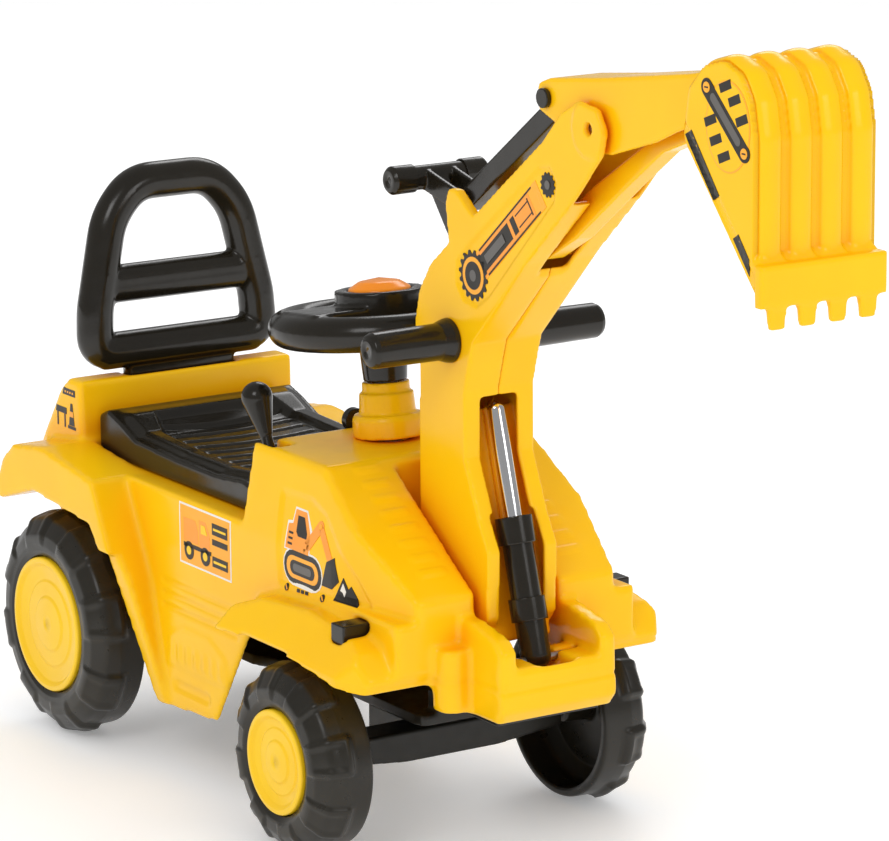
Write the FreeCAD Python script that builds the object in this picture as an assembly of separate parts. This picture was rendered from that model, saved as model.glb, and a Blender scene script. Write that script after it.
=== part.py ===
# Ride-on toy digger: rolling body with a lidded seat, steered front axle,
# tilting boom, and a stick and bucket worked by a T-shaped hand lever.
# Millimetres. +Z up, the front faces -Y, X = 0 is the plane of symmetry.
# The origin is on the floor, under the centre of the whole toy.
import FreeCAD, Part
import math
import os

V = FreeCAD.Vector

# ---- driving dimensions -------------------------------------------------
front_axle_y = 0.0
wheelbase = 374.0
rear_wheel_r = 90.0
front_wheel_r = 72.5
rear_track = 230.0
front_track = 248.0
rear_wheel_w = 44.0
front_wheel_w = 44.0
wall = 4.0
body_half_w = 104.0
narrow_half_w = 84.0
rear_fender_half_w = 137.0
front_fender_half_w = 140.0
deck_z = 224.0
dash_z = 285.0
slot_half_w = 36.0
bumper_half_w = 50.0
boom_half_w = 30.0
stick_half_w = 23.0
bucket_half_w = 49.0
axle_r = 5.0
pin_r = 4.0
run = 0.05
gap = 0.5
steer_tilt = 6.0

# ---- places worked out from them ---------------------------------------
mid_y = front_axle_y + wheelbase / 2
rear_axle_y = front_axle_y + wheelbase


def at(back, height, x=0.0):
    """A point `back` mm behind mid-wheelbase, on the side plane at x."""
    return V(x, mid_y + back, height)


boom_pivot = at(-240, 200)
stick_pivot = at(-426, 562)
stick_tail = at(-363, 575)
lever_pivot = at(-245, 420)
rod_joint = at(-232, 482)
bucket_pivot = at(-575, 606)
link_head = at(-570, 576)
link_foot = at(-330, 463)
cylinder_foot = at(-314, 158)
cylinder_head = at(-262, 335)
grip_centre = at(-248, 385)
handle_centre = at(-185, 493)
seat_hinge = at(-54, 238)
gear_pivot = at(-78, 270, -80)
collar_base = at(-116, dash_z)
steer_lean = V(0, math.sin(math.radians(steer_tilt)),
               math.cos(math.radians(steer_tilt)))
screw_places = [(x, back) for x in (-66, 66) for back in (0, 120, 226)]

# ---- helpers ------------------------------------------------------------


def wire(points):
    """A closed outline through the given vectors."""
    return Part.makePolygon(list(points) + [points[0]])


def rounded(points, radius):
    """A closed planar outline whose corners are arcs of the given radius,
    reduced where two neighbouring corners leave less room."""
    count = len(points)
    trims = []
    for i in range(count):
        before = (points[i - 1] - points[i])
        after = (points[(i + 1) % count] - points[i])
        half = before.getAngle(after) / 2
        room = 0.45 * min(before.Length, after.Length)
        trims.append((min(radius / math.tan(half), room), half, before, after))
    edges = []
    joins = []
    for i in range(count):
        trim, half, before, after = trims[i]
        into = points[i] + before.normalize() * trim
        out = points[i] + after.normalize() * trim
        inward = (before + after).normalize()
        arc_r = trim * math.tan(half)
        middle = points[i] + inward * (arc_r / math.sin(half) - arc_r)
        joins.append((into, middle, out))
    for i in range(count):
        into, middle, out = joins[i]
        edges.append(Part.Arc(into, middle, out).toShape())
        following = joins[(i + 1) % count][0]
        if (following - out).Length > 1e-6:
            edges.append(Part.LineSegment(out, following).toShape())
    return Part.Wire(edges)


def side_prism(outline, x0, x1, radius=0.0):
    """Outline of (back, height) pairs, extruded from x0 to x1."""
    points = [at(back, height, x0) for back, height in outline]
    edge = rounded(points, radius) if radius else wire(points)
    return Part.Face(edge).extrude(V(x1 - x0, 0, 0))


def front_prism(outline, back0, back1, radius=0.0):
    """Outline of (x, height) pairs, extruded rearwards from back0."""
    points = [at(back0, height, x) for x, height in outline]
    edge = rounded(points, radius) if radius else wire(points)
    return Part.Face(edge).extrude(V(0, back1 - back0, 0))


def plan_prism(outline, z0, z1, radius=0.0):
    """Outline of (x, back) pairs, extruded upwards from z0."""
    points = [at(back, z0, x) for x, back in outline]
    edge = rounded(points, radius) if radius else wire(points)
    return Part.Face(edge).extrude(V(0, 0, z1 - z0))


def block(x0, x1, back0, back1, z0, z1):
    """A box between two x values, two distances back and two heights."""
    return Part.makeBox(x1 - x0, back1 - back0, z1 - z0, at(back0, z0, x0))


def bar_x(centre, radius, x0, x1):
    """A round bar across the toy, on the axis through centre."""
    start = V(x0, centre.y, centre.z)
    return Part.makeCylinder(radius, x1 - x0, start, V(1, 0, 0))


def strut(start, end, radius):
    """A round bar between two points."""
    line = end - start
    return Part.makeCylinder(radius, line.Length, start, line)


def fuse_all(shapes):
    """One solid from shapes that overlap."""
    joined = shapes[0]
    for shape in shapes[1:]:
        joined = joined.fuse(shape)
    return joined.removeSplitter()


def cut_all(shape, tools):
    """The shape with every tool cut away."""
    for tool in tools:
        shape = shape.cut(tool)
    return shape


def on_column(distance):
    """A point on the steering axis, above or below the collar's foot."""
    return collar_base + steer_lean * distance


cylinder_line = cylinder_head - cylinder_foot
cylinder_length = cylinder_line.Length
cylinder_line.normalize()


def on_cylinder(distance):
    """A point on the front cylinder's axis, measured from its foot."""
    return cylinder_foot + cylinder_line * distance


def mirrored(shape):
    """The same piece on the other side of the plane of symmetry."""
    return shape.mirror(V(0, 0, 0), V(1, 0, 0))


def both_sides(shape):
    """The piece and its mirror image."""
    return [shape, mirrored(shape)]


def tilted(shape, centre, degrees):
    """The shape turned about the X axis through centre."""
    turned = shape.copy()
    turned.rotate(centre, V(1, 0, 0), degrees)
    return turned


def turned_profile(centre, axis_x, profile):
    """A body of revolution about an axis along X. The profile holds
    (distance along the axis, radius) pairs; axis_x is +1 or -1."""
    points = [V(centre.x + axis_x * along, centre.y, centre.z + radius)
              for along, radius in profile]
    return Part.Face(wire(points)).revolve(centre, V(1, 0, 0), 360)


# ---- body shell ---------------------------------------------------------
middle_outline = [
    (110, 224), (-70, 224), (-72, 285), (-174, 285), (-290, 206),
    (-290, 154), (-98, 154), (-78, 136), (-27, 56), (62, 50), (104, 150)]
rear_outline = [(256, 96), (262, 205), (248, 224), (100, 224), (100, 96)]
deck_outline = [(250, 190), (250, 224), (90, 224), (90, 190)]
rear_fender_outline = [
    (46, 52), (64, 52), (97, 170), (112, 188), (206, 196), (264, 178),
    (268, 192), (256, 214), (238, 228), (190, 235), (106, 224), (68, 150)]
front_fender_outline = [
    (-88, 150), (-98, 170), (-130, 181), (-190, 185), (-250, 181),
    (-274, 172), (-288, 152), (-284, 142), (-236, 149), (-190, 154),
    (-130, 154)]
backrest_block_outline = [
    (264, 214), (262, 224), (229, 270), (214, 282), (192, 282), (190, 214)]
bumper_outline = [
    (-270, 122), (-270, 192), (-304, 190), (-334, 184), (-344, 176),
    (-346, 132), (-338, 122)]


def inset_outline(outline, inset):
    """The outline with every side moved inwards by inset."""
    count = len(outline)
    area = sum(outline[i - 1][0] * outline[i][1]
               - outline[i][0] * outline[i - 1][1] for i in range(count))
    turn = math.copysign(1.0, area)
    moved = []
    for i in range(count):
        (ax, ay), (bx, by) = outline[i - 1], outline[i]
        cx, cy = outline[(i + 1) % count]
        before = math.hypot(bx - ax, by - ay)
        after = math.hypot(cx - bx, cy - by)
        n1 = (-turn * (by - ay) / before, turn * (bx - ax) / before)
        n2 = (-turn * (cy - by) / after, turn * (cx - bx) / after)
        scale = inset / (1 + n1[0] * n2[0] + n1[1] * n2[1])
        moved.append((bx + scale * (n1[0] + n2[0]),
                      by + scale * (n1[1] + n2[1])))
    return moved


def inset_prism(outline, half_width, inset):
    """A side prism across the toy, with every wall moved in by inset."""
    half = half_width - inset
    return side_prism(inset_outline(outline, inset), -half, half)


def flare_limit(inset):
    """What lies outside the plane that the rear fenders flare along."""
    low = body_half_w - inset
    side = [(low, 40), (low + 26, 170), (low + 120, 170), (low + 120, 40)]
    piece = front_prism(side, 20, 130)
    return both_sides(piece)


def hood_limit(inset):
    """What lies outside the leaning sides and front corners of the hood."""
    foot = body_half_w + 0.5 - inset
    lean = [(foot, 216), (foot - 15, 300), (foot + 60, 300), (foot + 60, 216)]
    corner = [(foot, -200), (foot - 20, -296), (foot + 60, -296),
              (foot + 60, -200)]
    sides = both_sides(front_prism(lean, -300, -60))
    fronts = both_sides(plan_prism(corner, 192 - inset, 300))
    return sides + fronts


def body_masses(inset):
    """The main forms of the body, each shrunk by inset."""
    hood = inset_prism(middle_outline, body_half_w, inset)
    masses = [
        cut_all(hood, hood_limit(inset)),
        inset_prism(rear_outline, narrow_half_w, inset),
        inset_prism(deck_outline, body_half_w - 0.5, inset),
        inset_prism(backrest_block_outline, 98.0, inset),
        inset_prism(bumper_outline, bumper_half_w, inset),
    ]
    for side in (-1, 1):
        foot = at(-292, 124 + inset, side * 58.0)
        masses.append(Part.makeCylinder(14 - inset, 47 - 2 * inset, foot))
    return masses


def fender_masses():
    """The rear and front mudguards, on both sides."""
    rear = side_prism(rear_fender_outline, -rear_fender_half_w,
                      rear_fender_half_w)
    seat_room = block(-86.5, 86.5, 30, 188, deck_z, deck_z + 20)
    rear = cut_all(rear, flare_limit(0.0) + [seat_room])
    front = side_prism(front_fender_outline, -front_fender_half_w,
                       front_fender_half_w)
    edge = front_fender_half_w + 1
    slope = front_prism([(edge - 25, 190), (edge, 152), (edge + 20, 152),
                         (edge + 20, 190)], -300, -80)
    corner = plan_prism([(edge, -262), (edge - 18, -292), (edge + 20, -292),
                         (edge + 20, -262)], 130, 200)
    front = cut_all(front, both_sides(slope) + both_sides(corner))
    return [rear, front]


def boom_slot(grow):
    """The slot in the hood where the boom stands, and the front trough."""
    half = slot_half_w + grow
    low = 142 - grow
    opening = [(half, low), (half, 214), (half, 300), (-half, 300),
               (-half, 214), (-half, low)]
    throat = front_prism(opening, -352, -180 + grow)
    keep = block(-half - 10, half + 10, -352 - grow, -336 + grow, 100, 163)
    return throat.cut(keep)


def cylinder_beds():
    """The two raised beds in the trough, either side of the cylinder."""
    return both_sides(block(14.5, slot_half_w + 1, -337, -298, 141, 163))


def body_shell():
    """The yellow body: a moulded shell, open underneath."""
    outer = fuse_all(body_masses(0.0) + fender_masses())
    open_under = [
        block(-80, 80, -28, 252, 60, deck_z - wall),
        block(-84, 84, -262, -72, 120, 160),
        block(-100, 100, -200, -72, 120, 160),
        block(-100, 100, -74, 84, 40, 150),
        block(-96, 96, 98, 250, 150, 220),
        block(-46, 46, -334, -240, 116, 134),
    ]
    shell = cut_all(outer, body_masses(wall) + open_under)
    lining = boom_slot(wall).common(outer)
    shell = shell.fuse(lining).cut(boom_slot(0.0))
    shell = fuse_all([shell] + cylinder_beds())
    lid_opening = block(-74, 74, -38, 172, deck_z - 10, deck_z + 10)
    column_hole = Part.makeCylinder(13.5, 60, at(-116, 255))
    openings = [
        lid_opening,
        tilted(column_hole, collar_base, -steer_tilt),
        block(-125.1, -80, -252.1, -234.9, 169.9, 187.1),
        block(80, 125.1, -252.1, -234.9, 169.9, 187.1),
        bar_x(boom_pivot, pin_r + run, -60, 60),
        bar_x(cylinder_foot, 3.0 + run, -45, 45),
        block(-87, -73, -96, -60, 276, 300),
        block(-87, -73, -90, -60, 256, 300),
        Part.makeCylinder(4.0 + run, 20, at(-84, 270), V(0, 1, 0)),
    ]
    shell = cut_all(shell, openings)
    ears = []
    for side in (-1, 1):
        foot = side * 45.0
        ear = side_prism([(-60, 223), (-60, 240), (-54, 245), (-48, 240),
                          (-48, 223)], foot - 5, foot + 5)
        ears.append(ear.cut(bar_x(seat_hinge, 3.0 + run, -60, 60)))
    for x in (-91, -73):
        lug = block(x, x + 4, -88, -71, 262, 283)
        ears.append(lug.cut(bar_x(gear_pivot, 2.5, -100, -60)))
    return fuse_all([shell] + ears)


# ---- rest of the rolling body -------------------------------------------
def storage_bin():
    """The bin under the seat, hung by its rim in the deck opening."""
    outer = block(-73, 73, -37, 171, 140, deck_z - 0.5)
    inner = block(-70, 70, -34, 168, 143, deck_z + 1)
    return outer.cut(inner)


def chassis():
    """The black floor pan that carries both axles."""
    pan = plan_prism([(-58, -250), (-58, -80), (-76, -40), (-76, 248),
                      (76, 248), (76, -40), (58, -80), (58, -250)],
                     100, 108, 8)
    nose = block(-44, 44, -330, -240, 118, 124)
    riser = block(-44, 44, -250, -236, 104, 124)
    tunnel = block(-76, 76, rear_axle_y - mid_y - 14, rear_axle_y - mid_y + 14,
                   78, 104)
    bore = bar_x(V(0, rear_axle_y, rear_wheel_r), axle_r + run, -90, 90)
    boss = strut(on_column(-196), on_column(-160), 21)
    column_bore = strut(on_column(-230), on_column(-150), 9.0 + run)
    ribs = [block(x - 3, x + 3, -100, 150, 93, 102) for x in (-40, 40)]
    pan = fuse_all([pan, riser, nose, tunnel, boss] + ribs)
    screw_holes = [Part.makeCylinder(2.0, 20, at(back, 95, x))
                   for x, back in screw_places]
    return cut_all(pan, [bore, column_bore] + screw_holes)


def column_collar():
    """The stepped yellow collar on the dash that guides the column."""
    profile = [(13.5, 0.4), (27, 0.4), (27, 14), (25, 18), (21.5, 18),
               (20.5, 34), (18, 34), (18, 42), (13.5, 42)]
    points = [V(r, 0, h) for r, h in profile]
    ring = Part.Face(wire(points)).revolve(V(0, 0, 0), V(0, 0, 1), 360)
    ring.translate(collar_base)
    return tilted(ring, collar_base, -steer_tilt).cut(
        block(-60, 60, -180, -60, 260, dash_z + run))


def backrest():
    """The moulded black loop with two openings, and its fixing tab."""
    outline = [(-88, 290), (-88, 330), (-72, 412), (-46, 450), (46, 450),
               (72, 412), (88, 330), (88, 290)]
    upper = [(-40, 368), (-36, 398), (-16, 418), (16, 418), (36, 398),
             (40, 368)]
    lower = [(-54, 312), (-46, 343), (46, 343), (54, 312)]
    plate = front_prism(outline, -15, 15, 26)
    plate = plate.cut(front_prism(upper, -20, 20, 14))
    plate = plate.cut(front_prism(lower, -20, 20, 10))
    tab = block(-50, 50, -8, 8, 262, 300)
    piece = plate.fuse(tab).translated(V(0, 206, 0))
    lean = at(206, 284)
    return tilted(piece, lean, -3.0)


def backrest_socket(shell):
    """The shell with the pocket that the backrest's tab stands in."""
    return shell.cut(tilted(block(-50.4, 50.4, 197.6, 214.4, 255, 300),
                            at(206, 284), -3.0))


def seat_lid():
    """The black seat, a lid with a raised rear edge, hollow beneath."""
    outline = [(186, 225), (186, 256), (172, 262), (150, 255), (128, 246),
               (60, 243), (0, 243), (-42, 247), (-58, 243), (-58, 225)]
    slab = side_prism(outline, -85, 85, 5)
    hollow = block(-79, 79, -40, 180, 220, 236)
    hinge_room = [block(x - 6, x + 6, -64, -41, 220, 260)
                  for x in (-45, 45)]
    bore = bar_x(seat_hinge, 3.0 + run, -66, 66)
    return cut_all(slab, [hollow, bore] + hinge_room)


def seat_hinge_pins():
    """Two short pins, one through each ear of the seat hinge."""
    return both_sides(bar_x(seat_hinge, 3.0, -60, -32))


def side_peg(side):
    """The black oblong peg on the hood's side, above the mudguard."""
    x0, x1 = sorted((side * 88.0, side * 125.0))
    return block(x0, x1, -252, -235, 170, 187)


def body_screws():
    """Slotted screws that hold the pan up inside the shell."""
    screws = []
    for x, back in screw_places:
        shank = Part.makeCylinder(2.0, 12, at(back, 99.9, x))
        head = Part.makeCylinder(4.0, 2.5, at(back, 97.5, x))
        screws.append(shank.fuse(head).cut(
            block(x - 4, x + 4, back - 0.6, back + 0.6, 97, 98.7)))
    return Part.makeCompound(screws)


# ---- wheels and axles ---------------------------------------------------
def wheel_tyre(centre, side, radius, width, hub_r, lugs):
    """A hollow black moulded wheel: lugged tread, web and hub tube, open
    towards the middle of the toy."""
    inner = -width / 2
    outer = width / 2
    profile = [
        (inner, radius - 11), (inner, radius - 6), (inner + 6, radius - 4),
        (outer - 16, radius - 4), (outer - 5, radius - 15),
        (outer, hub_r + 8), (outer - 1, hub_r + 0.3), (outer - 9, hub_r + 0.3),
        (outer - 9, axle_r + run), (inner + 4, axle_r + run), (inner + 4, 11),
        (outer - 13, 13), (outer - 13, radius - 20), (outer - 20, radius - 10)]
    body = turned_profile(centre, side, profile)
    pieces = [body]
    for i in range(lugs):
        angle = 360.0 * i / lugs
        depth = 7.5
        lug = Part.makeBox(width * 0.62, radius * 0.155, depth,
                           V(-width * 0.05, -radius * 0.078, radius - depth))
        if side < 0:
            lug = mirrored(lug)
        lug.translate(centre)
        lug.rotate(centre, V(1, 0, 0), angle)
        pieces.append(lug)
    return fuse_all(pieces)


def hub_cap(centre, side, width, hub_r):
    """The yellow dished hub cap."""
    face = width / 2
    profile = [
        (face - 8.8, axle_r + 2), (face - 8.8, hub_r), (face + 1, hub_r),
        (face + 1, hub_r - 3), (face - 2, hub_r - 6), (face - 4, hub_r * 0.45),
        (face - 1, hub_r * 0.4), (face - 1, 9), (face - 4, 9),
        (face - 4, axle_r + 2)]
    return turned_profile(centre, side, profile)


def axle_nut(centre, side, width):
    """The push nut on the end of an axle, inside the hub cap's eye."""
    face = width / 2
    profile = [(face - 8.5, axle_r), (face - 8.5, 6.6), (face - 5, 6.6),
               (face - 2.5, 4.5), (face - 2.5, 0), (face - 3.5, 0),
               (face - 3.5, axle_r)]
    return turned_profile(centre, side, profile)


rear_centres = {
    "left": V(rear_track / 2, rear_axle_y, rear_wheel_r),
    "right": V(-rear_track / 2, rear_axle_y, rear_wheel_r)}
front_centres = {
    "left": V(front_track / 2, front_axle_y, front_wheel_r),
    "right": V(-front_track / 2, front_axle_y, front_wheel_r)}
side_sign = {"left": 1, "right": -1}


def axle_rod(y, z, track, width):
    """A steel axle rod across the toy."""
    half = track / 2 + width / 2 - 3.5
    return bar_x(V(0, y, z), axle_r, -half, half)


# ---- steering -----------------------------------------------------------
def front_axle_beam():
    """The black beam that carries the front axle and swivels with the
    steering column."""
    outline = [(-98, 64), (-40, 58), (40, 58), (98, 64), (98, 82), (-98, 82)]
    beam = front_prism(outline, -202, -172)
    neck = block(-24, 24, -180, -120, 60, 82)
    boss = strut(on_column(-228), on_column(-201), 20)
    beam = fuse_all([beam, neck, boss])
    axle_bore = bar_x(V(0, front_axle_y, front_wheel_r), axle_r, -99, 99)
    column_bore = strut(on_column(-224), on_column(-190), 9.0)
    return cut_all(beam, [axle_bore, column_bore])


def steering_column():
    """The steel tube from the steering wheel down to the beam."""
    outer = strut(on_column(-224), on_column(88), 9.0)
    return outer.cut(strut(on_column(-225), on_column(89), 7.0))


def column_sleeve():
    """The fluted black sleeve between the collar and the wheel's hub."""
    cone = Part.makeCone(16.5, 18.5, 26.5, on_column(43.0), steer_lean)
    flutes = []
    for i in range(12):
        angle = math.radians(30 * i)
        foot = on_column(42) + V(19.5 * math.cos(angle),
                                 19.5 * math.sin(angle), 0)
        flutes.append(strut(foot, foot + steer_lean * 30, 2.2))
    bore = strut(on_column(40), on_column(75), 9.0)
    return cut_all(cone, flutes + [bore])


def steering_wheel():
    """The black steering wheel: thick rim, two broad spokes and a hub."""
    centre = on_column(86)
    rim = Part.makeTorus(72.0, 13.5, centre, steer_lean)
    hub = Part.makeCone(20, 34, 18, on_column(70), steer_lean)
    drum = Part.makeCylinder(34, 24, on_column(88), steer_lean)
    spoke = block(-72, 72, -24, 24, -9, 15)
    spoke.translate(V(0, -mid_y, 0))
    spoke.rotate(V(0, 0, 0), V(1, 0, 0), -steer_tilt)
    spoke.translate(centre)
    wheel = fuse_all([rim, hub, drum, spoke])
    bore = strut(on_column(60), on_column(88), 9.0)
    well = strut(on_column(96), on_column(120), 24.0 + gap)
    return cut_all(wheel, [bore, well])


def horn_button():
    """The orange dome in the middle of the wheel."""
    skirt = Part.makeCylinder(24, 8, on_column(104), steer_lean)
    ball = Part.makeSphere(33, on_column(112 - 22.6))
    dome = ball.common(Part.makeCylinder(24, 20, on_column(112), steer_lean))
    hollow = Part.makeCylinder(21, 7, on_column(103), steer_lean)
    return skirt.fuse(dome).removeSplitter().cut(hollow)


def horn_spring():
    """The spring under the horn button, as a plain sleeve."""
    outer = strut(on_column(96), on_column(106.6), 8.0)
    return outer.cut(strut(on_column(90), on_column(112), 6.0))


# ---- levers on the dash -------------------------------------------------
def gear_lever():
    """The black drop-shaped lever at the dash's rear edge."""
    knob_centre = at(-57, 314, -80)
    foot = gear_pivot
    stem = strut(foot, knob_centre, 4.5)
    knob = Part.makeSphere(12, knob_centre)
    direction = (knob_centre - foot).normalize()
    neck = Part.makeCone(5, 11.2, 26, knob_centre - direction * 30, direction)
    eye = bar_x(foot, 7.5, -83, -77)
    lever = fuse_all([stem, knob, neck, eye])
    return lever.cut(bar_x(foot, 2.5 + run, -95, -65))


def gear_lever_pin():
    """The lever's pin, under the dash."""
    return bar_x(gear_pivot, 2.5, -90, -70)


def key_knob():
    """The black key on the dash's rear face."""
    stem = Part.makeCylinder(4.0, 20, at(-82, 270), V(0, 1, 0))
    neck = block(-4.5, 4.5, -69, -62, 266, 284)
    bow = Part.makeCylinder(9.3, 7, at(-69, 288), V(0, 1, 0))
    collar = Part.makeCylinder(7.0, 7, at(-69, 270), V(0, 1, 0))
    stop = Part.makeCylinder(6.0, 3, at(-82, 270), V(0, 1, 0))
    return fuse_all([stem, neck, bow, collar, stop])


# ---- boom ---------------------------------------------------------------
boom_outline = [
    (-212, 176), (-205, 262), (-207, 360), (-201, 392), (-207, 415),
    (-222, 437), (-256, 463), (-368, 546), (-390, 568), (-412, 580),
    (-436, 577), (-445, 562), (-440, 545), (-409, 512), (-346, 456),
    (-300, 409), (-278, 387), (-267, 350), (-267, 300), (-285, 258),
    (-297, 237), (-296, 186), (-280, 167), (-226, 166)]
ear_outline = [(-248, 452), (-243, 484), (-247, 496), (-257, 496),
               (-282, 478), (-282, 470)]
boom_wall = 3.5


def boom_hollow():
    """The space inside the boom and the openings into it."""
    inside = boom_half_w - boom_wall
    core = side_prism(inset_outline(boom_outline, boom_wall), -inside, inside)
    fork = side_prism([(-340, 540), (-372, 522), (-412, 500), (-470, 540),
                       (-470, 600), (-380, 610)], -inside, inside)
    lever_slot = block(-9, 9, -262, -195, 418, 480)
    link_slot = side_prism([(-344, 476), (-330, 434), (-480, 560),
                            (-430, 560)], -11, 11)
    rod_window = block(-16, 16, -300, -235, 278, 344)
    rod_groove = block(-15.5, 15.5, -320, -262, 255, 285)
    barrel_groove = block(-19, 19, -320, -262, 150, 262)
    return [core, fork, lever_slot, link_slot, rod_window, rod_groove,
            barrel_groove]


def boom_web(side):
    """The web behind the cylinder that closes the boom's front channel."""
    start, end = on_cylinder(15), on_cylinder(186)
    back = V(0, cylinder_line.z, -cylinder_line.y)
    corners = [start + back * 17, end + back * 17,
               end + back * 20.5, start + back * 20.5]
    sheet = Part.Face(wire(corners))
    return sheet.extrude(V(side * (boom_half_w - boom_wall + 0.5), 0, 0))


def boom_shell(side):
    """One half of the boom, moulded and split down the middle."""
    solid = side_prism(boom_outline, 0, side * boom_half_w, 6)
    ear = side_prism(ear_outline, side * 22, side * boom_half_w, 5)
    shell = fuse_all([solid, ear])
    shell = cut_all(shell, boom_hollow())
    bosses = []
    for centre, bore in boom_bores:
        bosses.append(bar_x(centre, bore + 4,
                            *sorted((side * 16.0, side * 28.0))))
    shell = fuse_all([shell, boom_web(side)] + bosses)
    for centre, bore in boom_bores:
        shell = shell.cut(bar_x(centre, bore + run, -27.1, 27.1))
    return cut_all(shell, [bar_x(boom_pivot, pin_r + run, -40, 40),
                           bar_x(stick_pivot, pin_r + run, -40, 40),
                           bar_x(grip_centre, 9.0, -40, 40)])


boom_bores = [(lever_pivot, pin_r), (link_foot, pin_r)]


def boom_pivot_pin():
    """The steel pin through the hood's slot that the boom tilts on."""
    return bar_x(boom_pivot, pin_r, -56, 56)


def short_pin(centre, radius, half):
    """A plain pin across the toy."""
    return bar_x(centre, radius, -half, half)


def grip_tube():
    """The steel tube through the boom that carries the two lower grips."""
    outer = bar_x(grip_centre, 9.0, -92, 92)
    return outer.cut(bar_x(grip_centre, 7.5, -93, 93))


def lower_grip(side):
    """One black lower grip, flared where it meets the boom."""
    profile = [(boom_half_w, 9.0), (boom_half_w, 16.5),
               (boom_half_w + 5, 15.5), (boom_half_w + 11, 13.5),
               (96, 13.0), (99, 11.5), (100, 8), (100, 0), (94, 0), (94, 9.0)]
    return turned_profile(V(0, grip_centre.y, grip_centre.z), side, profile)


# ---- hand lever and control rod ----------------------------------------
def capsule(start, end, radius, x0, x1):
    """A flat bar with round ends, between two points of a side plane."""
    ends = [bar_x(start, radius, x0, x1), bar_x(end, radius, x0, x1)]
    line = end - start
    line.normalize()
    normal = V(0, -line.z, line.y) * radius
    corners = [start + normal, end + normal, end - normal, start - normal]
    corners = [V(x0, c.y, c.z) for c in corners]
    web = Part.Face(wire(corners)).extrude(V(x1 - x0, 0, 0))
    return fuse_all([web] + ends)


def hand_lever():
    """The T-shaped lever: post, cross tube and the cheeks that hold the
    control rod."""
    post = capsule(lever_pivot, handle_centre, 8.0, -5, 5)
    cheeks = [capsule(handle_centre, rod_joint, 8.0, x - 2, x + 2)
              for x in (-11, 11)]
    tube = bar_x(handle_centre, 9.0, -27, 27)
    lever = fuse_all([post, tube] + cheeks)
    bores = [bar_x(lever_pivot, pin_r + run, -30, 30),
             bar_x(rod_joint, 3.0, -30, 30)]
    return cut_all(lever, bores)


def upper_grip(side):
    """One black end grip of the hand lever."""
    profile = [(21, 9.0), (21, 10.5), (38, 10.5), (41.5, 8), (41.5, 0),
               (27.2, 0), (27.2, 9.0)]
    return turned_profile(V(0, handle_centre.y, handle_centre.z), side,
                          profile)


def control_rod():
    """The black bar from the hand lever to the stick's tail. Its lower eye
    is a slot, where the linkage has play."""
    bar = capsule(rod_joint, stick_tail, 8.0, -7, 7)
    line = stick_tail - rod_joint
    line.normalize()
    eye = capsule(rod_joint - line * 1.5, rod_joint + line * 1.5, 5.6, -9, 9)
    return cut_all(bar, [eye, bar_x(stick_tail, pin_r + run, -9, 9)])


# ---- stick and bucket ---------------------------------------------------
stick_outline = [
    (-352, 566), (-352, 584), (-366, 589), (-430, 597), (-530, 612),
    (-578, 622), (-591, 612), (-590, 596), (-560, 588), (-514, 570),
    (-493, 561), (-440, 545), (-412, 544), (-380, 556)]


def stick():
    """The yellow stick: a channel open underneath."""
    inside = stick_half_w - 3
    solid = side_prism(stick_outline, -stick_half_w, stick_half_w, 5)
    hollow = side_prism(stick_outline, -inside, inside)
    lower = hollow.translated(V(0, 3, -3))
    channel = block(-inside, inside, -560, -440, 520, 580)
    tail = block(-inside, inside, -372, -340, 540, 580)
    pivots = [bar_x(stick_pivot, pin_r, -40, 40),
              bar_x(stick_tail, pin_r, -40, 40),
              bar_x(bucket_pivot, pin_r, -40, 40)]
    return cut_all(solid, [lower, channel, tail] + pivots)


def stick_tail_pin():
    """The black pin, with round heads, at the stick's tail."""
    pin = bar_x(stick_tail, pin_r, -24, 24)
    heads = [bar_x(stick_tail, 7.0, 23.3, 27), bar_x(stick_tail, 7.0, -27, -23.3)]
    return fuse_all([pin] + heads)


bucket_outline = [
    (-558, 576), (-565, 612), (-583, 630), (-605, 636), (-626, 628),
    (-638, 610), (-643, 585), (-643, 505), (-650, 498), (-650, 478),
    (-644, 478)]


def bucket_back():
    """The bucket's outer form, with four round ribs down its back."""
    core = side_prism(inset_outline(bucket_outline, 2.2), -bucket_half_w,
                      bucket_half_w, 16)
    pieces = [core]
    pitch = 2 * bucket_half_w / 4
    for i in range(4):
        x0 = -bucket_half_w + i * pitch
        pieces.append(side_prism(bucket_outline, x0 + 2, x0 + pitch - 2, 16))
    lip = block(-bucket_half_w - 2, bucket_half_w + 2, -651, -643, 477, 505)
    return fuse_all(pieces + [lip])


def bucket():
    """The yellow bucket: open towards the toy, with teeth on its lip."""
    inside = bucket_half_w - 3
    cavity = side_prism([
        (-553, 570), (-561, 610), (-581, 626), (-604, 631.5), (-622, 624),
        (-633, 608), (-638, 584), (-638, 500), (-644, 476), (-600, 500)],
        -inside, inside, 6)
    shell = bucket_back().cut(cavity)
    pieces = [shell]
    pitch = 2 * bucket_half_w / 4
    for i in range(4):
        centre = -bucket_half_w + (i + 0.5) * pitch
        tooth = front_prism([(centre - 8, 479), (centre - 5.5, 462),
                             (centre + 5.5, 462), (centre + 8, 479)],
                            -650, -645)
        pieces.append(tooth)
    for x in (-28, 24):
        lug = side_prism([(-566, 596), (-566, 612), (-575, 628), (-600, 634),
                          (-592, 602), (-580, 596)], x, x + 4)
        pieces.append(lug)
    for x in (-16, 12):
        lug = side_prism([(-563, 570), (-563, 583), (-592, 594), (-641, 580),
                          (-641, 560), (-577, 570)], x, x + 4)
        pieces.append(lug)
    made = fuse_all(pieces)
    stick_room = block(-stick_half_w - 0.6, stick_half_w + 0.6,
                       -592, -550, 586, 645)
    return cut_all(made, [stick_room,
                          bar_x(bucket_pivot, pin_r + run, -40, 40),
                          bar_x(link_head, 3.0, -30, 30)])


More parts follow.
